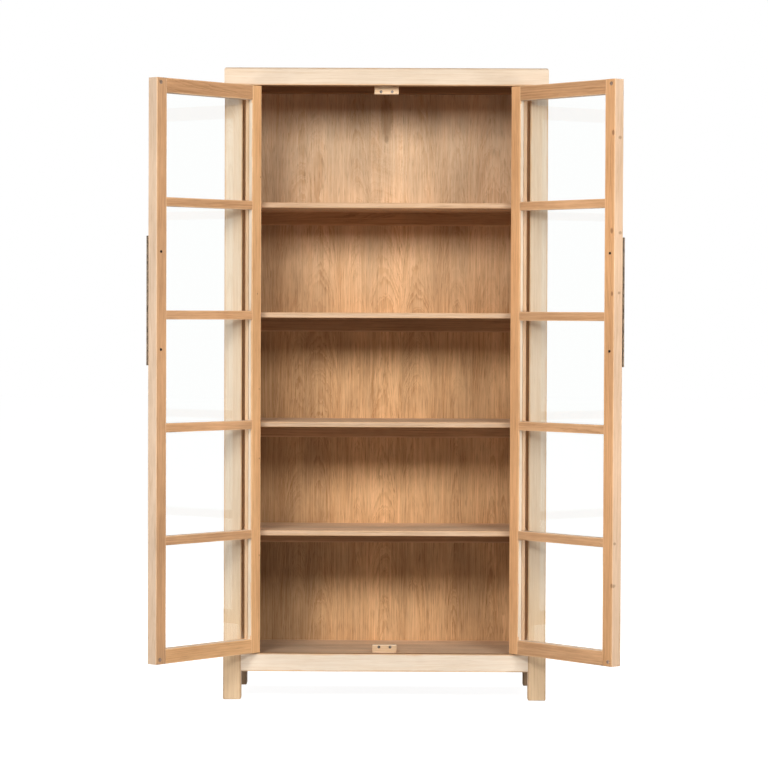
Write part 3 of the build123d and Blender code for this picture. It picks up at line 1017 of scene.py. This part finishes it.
@dataclass
class Board:
    """A wooden piece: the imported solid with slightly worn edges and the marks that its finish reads."""

    node: str
    run: Run
    finish: WoodFinish
    stain: Stain | None = None
    knots: tuple[Knot, ...] = ()
    turn: Matrix = SQUARE
    number: int = field(init=False)
    low: Vector = field(init=False)
    high: Vector = field(init=False)
    wear_reach: float = 9.0 * MM
    long_cut: float = 55.0 * MM
    edge_cuts: Span = (5.0 * MM, 13.0 * MM)
    room_by_cut: float = 2.4
    wobble: float = 0.28 * MM
    wobble_from: float = 0.3
    wobble_middle: float = 0.45
    wobble_scale: Vector = Vector((9.0, 3.7, 5.1))
    narrow: float = 0.2
    side_shift: Span = (-0.03, 0.03)
    depth_shift: Span = (0.01, 0.05)
    sharp: float = 40.0

    @property
    def middle(self) -> Vector:
        """The middle of the board's box."""
        return (self.low + self.high) / 2

    @property
    def axes(self) -> tuple[int, int, int]:
        """The axes across the broad face, through the thickness and along the grain."""
        along, size = self.run.value, self.high - self.low
        return (*sorted((a for a in range(3) if a != along), key=lambda a: -size[a]), along)

    def grain_place(self, point: Vector) -> Vector:
        """Gives a point's place in the log that the board was cut from.

        Args:
            point: A point in the square frame.

        Returns:
            Metres across, through and along, with the board's own number of steps added along.
        """
        (across, through, along), middle = self.axes, self.middle
        draw = random.Random(self.number)
        thin = self.high[across] - self.low[across] < self.narrow
        offset = draw.uniform(*self.side_shift) if thin else 0.0
        x = point[across] - middle[across] + offset
        y = point[through] - middle[through] + draw.uniform(*self.depth_shift)
        return Vector((x, y, point[along] - middle[along] + BOARD_STEP * self.number))

    def knot_place(self, knot: Knot) -> Vector:
        """Gives the grain place of a knot's middle.

        Args:
            knot: The knot.

        Returns:
            Its place in the board's log.
        """
        (across, through, along), point = self.axes, self.middle
        point[across] += knot.across
        point[through] = self.high[through] - knot.below
        point[along] += knot.along
        return self.grain_place(point)

    def cut(self, shape: Shape) -> None:
        """Adds the loops that hold the wear and the wobble of the edges.

        Args:
            shape: The board's mesh.
        """
        (*sides, along), low, high = self.axes, self.low, self.high
        for axis in sides:
            for reach in self.edge_cuts:
                if high[axis] - low[axis] > self.room_by_cut * reach:
                    shape.slice(axis, low[axis] + reach)
                    shape.slice(axis, high[axis] - reach)
        count = int((high[along] - low[along]) / self.long_cut)
        for step in range(1, count + 1):
            shape.slice(along, low[along] + (high[along] - low[along]) * step / (count + 1))

    def mark(self, made: Mesh) -> None:
        """Writes the grain place, the edge wear and the inner side, and wears the long edges back.

        Args:
            made: The board's mesh.
        """
        (*sides, along), low, high, middle = self.axes, self.low, self.high, self.middle
        grain = made.verts.layers.float_vector.new(GRAIN_PLACE)
        edge = made.verts.layers.float.new(EDGE_WEAR)
        side = made.faces.layers.float.new(INNER_SIDE)
        made.normal_update()
        for face in made.faces:
            face[side] = self.stain.share(face) if self.stain else 0.0
        for vert in made.verts:
            vert[grain] = self.grain_place(vert.co)
            reach = math.hypot(*(min(vert.co[a] - low[a], high[a] - vert.co[a]) for a in sides))
            closeness = max(0.0, 1.0 - reach / self.wear_reach)
            vert[edge] = closeness
            if closeness > self.wobble_from:
                spot = Vector((vert.co[along], self.number, vert.co[sides[0]] > middle[sides[0]]))
                rub = self.wobble_middle + noise.noise(spot * self.wobble_scale)
                rub = self.wobble * closeness * max(0.0, rub)
                for axis in sides:
                    vert.co[axis] += rub if vert.co[axis] < middle[axis] else -rub

    def dress(self, body: str, number: int) -> Piece:
        """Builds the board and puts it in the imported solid's place.

        Args:
            body: The body it rides on.
            number: The board's own number, which picks its part of the log.

        Returns:
            The dressed board.
        """
        shape = Shape(self.turn, self.node)
        self.number = number
        self.low, self.high = shape.box(shape.mesh.verts)
        self.cut(shape)
        self.mark(shape.mesh)
        finish = self.finish
        if self.knots:
            placed = tuple((self.knot_place(knot), knot) for knot in self.knots)
            finish = replace(finish, name=f"{finish.name}_of_{self.node}", knots=placed)
        return shape.fit(self.node, finish, body, self.sharp)


@dataclass(frozen=True)
class Turned:
    """A set of small round fittings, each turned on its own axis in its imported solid's place.

    Args:
        part: The set's name in its assembly.
        finish: The metal's finish.
        profile: For each ring its share of the radius, the millimetres added to that, its share of the
            length, and the millimetres added to that.
        lean: Degrees about X from straight up to the way that the last ring points.
        paired: Whether those in the cabinet's upper half point the other way.
        cross: A screw's cross: its arm and half its width by the radius, and its depth in metres.
    """

    part: str
    finish: MetalFinish
    profile: tuple[tuple[float, float, float, float], ...]
    lean: float = 0.0
    paired: bool = False
    cross: tuple[float, float, float] | None = None
    upper_half: float = 1.0
    sides: int = 32
    cross_taper: float = 0.7

    def recess(self, shape: Shape, rim: list[Vert], radius: float, top: float, place: Matrix) -> None:
        """Closes a screw's head with its sunk cross.

        Args:
            shape: The set's mesh.
            rim: The head's last ring.
            radius: The head's radius.
            top: The height of the last ring.
            place: Where the screw's local frame stands.
        """
        made, (arm, half, depth) = shape.mesh, self.cross
        points = ((half, half), (half, arm), (-half, arm))
        corners = [Vector((x * radius, y * radius, top)) for x, y in points]
        spins = [Matrix.Rotation(quarter * math.pi / 2, 4, "Z") for quarter in range(4)]
        outline = [place @ spin @ corner for spin in spins for corner in corners]
        centre = place @ Vector((0, 0, top))
        sink = place.to_3x3() @ Vector((0, 0, depth))
        upper = [made.verts.new(point) for point in outline]
        lower = [made.verts.new(centre + (point - centre) * self.cross_taper - sink) for point in outline]
        pairs = shape.pairs(rim) + shape.pairs(upper)
        edges = [made.edges.get(pair) or made.edges.new(pair) for pair in pairs]
        bmesh.ops.triangle_fill(made, edges=edges, use_beauty=True)
        for face in [face for face in made.faces if set(face.verts) <= set(upper)]:
            made.faces.remove(face)
        shape.band(upper, lower)
        made.faces.new(lower)

    def add(self, shape: Shape, low: Vector, high: Vector) -> None:
        """Adds one fitting.

        Args:
            shape: The set's mesh.
            low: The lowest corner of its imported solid.
            high: The highest corner.
        """
        flip = 180.0 if self.paired and low.z > self.upper_half else 0.0
        spin = Matrix.Rotation(math.radians(self.lean + flip), 4, "X")
        size, axis = high - low, spin.to_3x3() @ Vector((0, 0, 1))
        radius, length = size.x / 2, abs(size.dot(axis))
        place = Matrix.Translation((low + high) / 2 - axis * length / 2) @ spin
        angles = [2 * math.pi * step / self.sides for step in range(self.sides)]
        rings = []
        for wide, more, tall, higher in self.profile:
            reach, height = wide * radius + more * MM, tall * length + higher * MM
            points = [Vector((reach * math.cos(angle), reach * math.sin(angle), height)) for angle in angles]
            rings.append([shape.mesh.verts.new(place @ point) for point in points])
        for first, second in zip(rings, rings[1:]):
            shape.band(first, second)
        shape.mesh.faces.new(rings[0][::-1])
        if self.cross:
            self.recess(shape, rings[-1], radius, length, place)
        else:
            shape.mesh.faces.new(rings[-1])

    def build(self, node: str, body: str, turn: Matrix = SQUARE) -> Piece:
        """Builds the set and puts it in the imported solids' place.

        Args:
            node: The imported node's name.
            body: The body it rides on.
            turn: The move from the row frame to the square frame.

        Returns:
            The set as one piece.
        """
        shape = Shape(turn)
        for low, high in Shape(turn, node).boxes():
            self.add(shape, low, high)
        return shape.fit(node, self.finish, body)


TO_BACK, TO_FRONT = -90.0, 90.0
"""Degrees about X from straight up to the cabinet's back and to its front."""
MAGNET_RINGS = (
    (1, -0.3, 0, 0), (1, 0, 0, 0.3), (1, 0, 1, -0.35), (1, -0.35, 1, 0), (0.76, 0, 1, 0),
    (0.74, 0, 1, -0.5), (0.66, 0, 1, -0.5), (0.62, 0, 1, -0.1), (0.2, 0, 1, 0),
)
CATCH_SCREW_RINGS = (
    (0.15, 0, 0, 0), (0.5, 0, 0, 4), (0.5, 0, 1, -2.6), (0.97, 0, 1, -0.5), (1, 0, 1, -0.3), (0.94, 0, 1, 0),
)
POST_RINGS = (
    (0.94, 0, 0, 0), (1, 0, 0, 0.3), (1, 0, 0, 1.2), (0.86, 0, 0, 2.4), (0.8, 0, 0.5, 0),
    (0.86, 0, 1, -1.8), (0.98, 0, 1, 0),
)
PULL_SCREW_RINGS = (
    (0.4, 0, 0, 0), (0.5, 0, 0, 0.4), (0.5, 0, 1, -2.2), (1, 0, 1, -2.2), (1, 0, 1, -1.21),
    (0.9, 0, 1, -0.44), (0.7, 0, 1, 0),
)
DISC_RINGS = (
    (1, -0.2, 0, 0), (1, 0, 0, 0.2), (1, 0, 1, -0.5), (1, -0.15, 1, -0.15), (1, -0.5, 1, 0),
    (0.4, 0, 1, 0), (0.3, 0, 1, -0.25),
)
MAGNETS = Turned("catch_magnets", MAGNET_STEEL, MAGNET_RINGS, TO_FRONT)
CATCH_SCREWS = Turned("catch_screws", STEEL, CATCH_SCREW_RINGS, paired=True, cross=(0.55, 0.13, 1.1 * MM))
PULL_POSTS = Turned("pull_posts", BRONZE, POST_RINGS, TO_FRONT)
PULL_SCREWS = Turned("pull_screws", DARK_STEEL, PULL_SCREW_RINGS, TO_BACK, cross=(0.5, 0.12, 1.2 * MM))
STRIKE_DISCS = Turned("strike_discs", DISC_STEEL, DISC_RINGS, TO_BACK)


@dataclass
class Carcass:
    """The posts, rails, panels, shelves and catches of the cabinet's fixed body."""

    body: str = "carcass"
    first_number: int = 1
    shelves: int = 4
    front_gap: float = 3 * MM
    top_gap: float = 10 * MM
    block_wear: float = 5 * MM
    block_cut: float = 18 * MM
    back_knots: tuple[Knot, ...] = (
        Knot(-1.1 * MM, 0.81, 23 * MM, 0.42, 0.26),
        Knot(-1.1 * MM, 0.737, 9 * MM, 0.5, 0.5),
    )

    def boards(self) -> list[Board]:
        """Lists the boards: posts darken towards the floor, the back ones with painted shade, and the front
        bottom rail is the palest.

        Returns:
            The boards in the order of their numbers.
        """
        # The faces inside the cabinet and the undersides of the shelves and the floor board carry painted
        # shade.
        inside, below = self.room(), Stain(downward=True)
        steps = range(1, self.shelves + 1)
        sides = [side.word for side in Side]
        rails = {"front": Run.ACROSS, "back": Run.ACROSS, "left": Run.DEEP, "right": Run.DEEP}
        made = [Board(f"post_front_{side}", Run.UPRIGHT, POST_WOOD, inside) for side in sides]
        made += [Board(f"post_back_{side}", Run.UPRIGHT, BACK_POST_WOOD, inside) for side in sides]
        made += [Board(f"top_rail_{place}", run, LIMED_WOOD, inside) for place, run in rails.items()]
        made.append(Board("top_panel", Run.ACROSS, LIMED_WOOD, inside))
        for place, run in rails.items():
            finish = RAIL_WOOD if place == "front" else LIMED_WOOD
            made.append(Board(f"bottom_rail_{place}", run, finish, inside))
        made.append(Board("floor_board", Run.ACROSS, FLOOR_WOOD, below))
        made += [Board(f"side_panel_{side}", Run.UPRIGHT, SIDE_WOOD, inside) for side in sides]
        made += [Board(f"shelf_{step}", Run.ACROSS, SHELF_WOOD, below) for step in steps]
        made += [Board(f"shelf_rail_{step}", Run.ACROSS, SHELF_RAIL_WOOD) for step in steps]
        made.append(Board("back_panel", Run.UPRIGHT, BACK_WOOD, knots=self.back_knots))
        sizes = {"wear_reach": self.block_wear, "long_cut": self.block_cut}
        made += [Board(f"catch_block_{end}", Run.ACROSS, BLOCK_WOOD, **sizes) for end in ("top", "bottom")]
        return made

    def room(self) -> Stain:
        """Measures the cabinet's inside, whose faces carry painted shade.

        Returns:
            The inner faces between the side panels, the floor board, the top frame and the back panel.
        """
        left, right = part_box("side_panel_left")[1].x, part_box("side_panel_right")[0].x
        front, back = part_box("post_front_left")[0].y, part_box("back_panel")[0].y
        low = Vector((left, front + self.front_gap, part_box("floor_board")[1].z))
        return Stain(low, Vector((right, back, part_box("top_panel")[1].z - self.top_gap)))

    def build(self) -> list[Piece]:
        """Builds and dresses every piece of the carcass.

        Returns:
            The dressed pieces.
        """
        numbered = enumerate(self.boards(), self.first_number)
        pieces = [board.dress(self.body, number) for number, board in numbered]
        pieces += [turned.build(turned.part, self.body) for turned in (MAGNETS, CATCH_SCREWS)]
        BRASS.coat("pivot_bushes")
        return pieces


@dataclass
class Door:
    """One glazed door, built in the frame in which it stands shut and square."""

    side: Side
    first_number: int
    edge_share: float
    hinge_stile: WoodFinish
    meeting_stile: WoodFinish
    bottom_rail: WoodFinish
    knots: dict[str, tuple[Knot, ...]]
    muntins: int = 4
    wear_reach: float = 6 * MM
    front_skin: float = 1.0 * MM
    glass_plane: float = 23.0 * MM
    inner_skin: float = 2.2 * MM
    rim_share: float = 0.65
    bar_bevel: float = 1.2 * MM
    bevel_steps: int = 4
    bar_cuts: int = 24
    bar_ends: float = 3 * MM
    bar_dent: float = 0.12 * MM
    dent_scale: float = 60.0

    @property
    def body(self) -> str:
        """The door's body name."""
        return f"{self.side.word}_door"

    @property
    def turn(self) -> Matrix:
        """The move from the row frame, with the door open, to the shut door.

        Returns:
            The turn about the door's joint to its lower limit.
        """
        joint = next(j for j in frame["joints"] if j["child"] == self.body)
        pivot = Vector(joint["pos_m"])
        spin = Matrix.Rotation(math.radians(joint["range_deg"][0]), 4, Vector(joint["axis"]))
        return Matrix.Translation(pivot) @ spin @ Matrix.Translation(-pivot)

    def node(self, part: str) -> str:
        """Gives the name of one of the door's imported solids."""
        return f"{self.body}_{part}"

    def inner_stain(self) -> Stain:
        """Measures the door's stained inner face, its free edge and the rims of its panes.

        Returns:
            The stain, which looks for inner faces in the last millimetres of the door.
        """
        low, high = Shape(self.turn, self.node("meeting_stile")).boxes()[0]
        room = 2.0
        return Stain(
            Vector((-room, high.y - self.inner_skin, -room)),
            Vector((room, high.y + room, room * 2)),
            edge=low.x if self.side is Side.RIGHT else high.x,
            edge_share=self.edge_share,
            rim=(low.y + self.front_skin, low.y + self.glass_plane),
            rim_share=self.rim_share,
        )

    def boards(self) -> list[Board]:
        """Lists the door's boards, which come from lighter and darker planks.

        Returns:
            The boards in the order of their numbers.
        """
        finishes = {
            "hinge_stile": self.hinge_stile,
            "meeting_stile": self.meeting_stile,
            "top_rail": DOOR_RAIL_WOOD,
            "bottom_rail": self.bottom_rail,
        }
        finishes |= {f"muntin_{step}": MUNTIN_WOOD for step in range(1, self.muntins + 1)}
        stain, turn, made = self.inner_stain(), self.turn, []
        for part, finish in finishes.items():
            run = Run.UPRIGHT if part.endswith("stile") else Run.ACROSS
            knots = self.knots.get(part, ())
            made.append(Board(self.node(part), run, finish, stain, knots, turn, self.wear_reach))
        return made

    def pull_bar(self) -> Piece:
        """Builds the pull's long bar with softened edges and ends.

        Returns:
            The bar.
        """
        node, shape = self.node("pull_bar"), Shape(self.turn)
        low, high = Shape(self.turn, node).boxes()[0]
        size, middle, made = high - low, (low + high) / 2, shape.mesh
        place = Matrix.Translation(middle) @ Matrix.Diagonal((*size, 1.0))
        bmesh.ops.create_cube(made, size=1.0, matrix=place)
        style = {"segments": self.bevel_steps, "profile": 0.5, "affect": "EDGES"}
        bmesh.ops.bevel(made, geom=made.edges[:], offset=self.bar_bevel, **style)
        for step in range(1, self.bar_cuts):
            shape.slice(Run.UPRIGHT.value, low.z + size.z * step / self.bar_cuts)
        for vert in made.verts:
            if abs(vert.co.z - middle.z) < size.z / 2 - self.bar_ends:
                dent = max(0.0, self.bar_dent * (0.5 + noise.noise(vert.co * self.dent_scale)))
                vert.co.y += dent if vert.co.y < middle.y else -dent
        return shape.fit(node, BRONZE, self.body)

    def build(self) -> list[Piece]:
        """Builds and dresses every piece of the door.

        Returns:
            The dressed pieces.
        """
        numbered = enumerate(self.boards(), self.first_number)
        pieces = [board.dress(self.body, number) for number, board in numbered]
        pieces.append(self.pull_bar())
        for turned in (PULL_POSTS, PULL_SCREWS, STRIKE_DISCS):
            pieces.append(turned.build(self.node(turned.part), self.body, self.turn))
        GlassFinish().coat(self.node("glass"))
        STEEL.coat(self.node("pivot_pins"))
        return pieces


PIN_MARK = 1.9 * MM
PIN_MARKS = tuple(
    Knot(across * MM, along, PIN_MARK)
    for across, along in ((-15.3, 0.595), (-2.3, 0.235), (-11.3, -0.059), (-12.2, -0.274), (-13.4, -0.574))
)
FACE_KNOTS = tuple(
    Knot(across * MM, along, radius * MM, 0.7)
    for across, along, radius in ((-13, 0.716, 6), (-9, 0.425, 6), (-11, 0.2375, 5), (-17, -0.634, 5))
)
EDGE_KNOTS = tuple(
    Knot(-20 * MM, along, radius * MM, 0.5, 0.5, 0.35, below * MM)
    for along, radius, below in ((0.702, 2.8, 22), (0.419, 2.8, 25), (0.24, 2.4, 22), (-0.508, 2.4, 9))
)
# The left door's hinge stile and bottom rail carry painted light.
LEFT_DOOR = Door(Side.LEFT, 40, 0.4, PAINTED_LIGHT_STILE_WOOD, MUNTIN_WOOD, PAINTED_LIGHT_STILE_WOOD, {"hinge_stile": PIN_MARKS})
RIGHT_DOOR = Door(
    Side.RIGHT, 60, 0.5, STILE_WOOD, STILE_WOOD, MUNTIN_WOOD, {"meeting_stile": FACE_KNOTS + EDGE_KNOTS}
)


@dataclass(frozen=True)
class Softbox:
    """A square studio lamp."""

    name: str
    place: tuple[float, float, float]
    aim: tuple[float, float, float]
    size: Span
    power: float
    spread: float = 180.0
    mirrored: bool = True

    def build(self) -> None:
        """Hangs the lamp and points it."""
        lamp = bpy.data.lights.new(self.name, "AREA")
        lamp.shape = "RECTANGLE"
        lamp.size, lamp.size_y = self.size
        lamp.energy = self.power
        lamp.spread = math.radians(self.spread)
        holder = bpy.data.objects.new(self.name, lamp)
        holder.location = self.place
        holder.rotation_euler = (Vector(self.aim) - Vector(self.place)).to_track_quat("-Z", "Y").to_euler()
        holder.visible_camera = False
        holder.visible_glossy = self.mirrored
        bpy.context.scene.collection.objects.link(holder)


@dataclass
class Studio:
    """The pale floor, the lamps and the camera."""

    floor_size: float = 60.0
    floor_cells: int = 8
    ambient: float = 0.004
    film_width: float = 36.0
    lens: float = 133.256
    far: float = 200.0
    eye: tuple[float, float, float] = (0.04188, -8.82385, 1.20417)
    right: tuple[float, float, float] = (0.99998, 0.0053709, 0.0039187)
    up: tuple[float, float, float] = (-0.0040545, 0.0255067, 0.9996664)
    lamps: tuple[Softbox, ...] = (
        Softbox("left_softbox", (-1.55, -3.74, 2.9), (0.0, 0.1, 1.0), (1.5, 1.15), 107.0),
        Softbox("right_softbox", (2.1, -3.74, 2.9), (0.0, 0.1, 1.0), (1.9, 1.15), 103.0),
        Softbox("left_fill", (-3.6, -1.4, 0.6), (0.0, -0.1, 0.7), (1.2, 1.1), 50.0),
        Softbox("right_fill", (3.6, -1.4, 0.6), (0.0, -0.1, 0.7), (1.2, 1.1), 44.0),
        Softbox("low_front_fill", (0.0, -4.2, 0.35), (0.0, 0.0, 0.15), (2.4, 0.5), 0.86, 38.0, False),
        Softbox("back_left_softbox", (-2.2, 2.6, 3.3), (0.0, 0.1, 1.2), (1.6, 1.6), 62.0),
        Softbox("back_right_softbox", (2.2, 2.6, 3.3), (0.0, 0.1, 1.2), (1.6, 1.6), 62.0),
    )

    def floor(self) -> None:
        """Lays the floor."""
        made = bmesh.new()
        cells = self.floor_cells
        bmesh.ops.create_grid(made, x_segments=cells, y_segments=cells, size=self.floor_size / 2)
        mesh = bpy.data.meshes.new("studio_floor")
        made.to_mesh(mesh)
        made.free()
        floor = bpy.data.objects.new("studio_floor", mesh)
        bpy.context.scene.collection.objects.link(floor)
        mesh.materials.append(FloorPaint().material())

    def sky(self) -> None:
        """Sets the world: white where it is seen, and a weak even light elsewhere."""
        world = bpy.data.worlds.new("studio")
        bpy.context.scene.world = world
        world.use_nodes = True
        canvas = Canvas(world.node_tree)
        strength = canvas.rays(SEEN).between(self.ambient, 1.0)
        light = canvas.read("ShaderNodeBackground", 0, {"Color": (1.0, 1.0, 1.0), "Strength": strength})
        canvas.show(light, "ShaderNodeOutputWorld")

    def camera(self) -> None:
        """Stands the camera where the photograph was taken from."""
        lens = bpy.data.cameras.new("camera")
        lens.sensor_width = self.film_width
        lens.lens = self.lens
        lens.clip_end = self.far
        eye = bpy.data.objects.new("camera", lens)
        right, up = Vector(self.right).normalized(), Vector(self.up).normalized()
        turn = Matrix((right, up, right.cross(up))).transposed().to_4x4()
        eye.matrix_world = Matrix.Translation(self.eye) @ turn
        bpy.context.scene.collection.objects.link(eye)
        bpy.context.scene.camera = eye

    def build(self) -> None:
        """Builds the whole studio."""
        self.floor()
        self.sky()
        for lamp in self.lamps:
            lamp.build()
        self.camera()
        bpy.context.scene.view_settings.view_transform = "Standard"


def report(title: str, pieces: Sequence[Piece]) -> None:
    """Logs each piece of an assembly under its title."""
    for piece in pieces:
        log.info("%s: %s, %d faces", title, piece.name, len(piece.data.polygons))


def main() -> None:
    """Builds the cabinet's looks and the studio."""
    logging.basicConfig(level=logging.INFO, format="%(name)s %(message)s")
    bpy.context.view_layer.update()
    report("carcass", Carcass().build())
    report("left door", LEFT_DOOR.build())
    report("right door", RIGHT_DOOR.build())
    Studio().build()


if __name__ == "__main__":
    main()
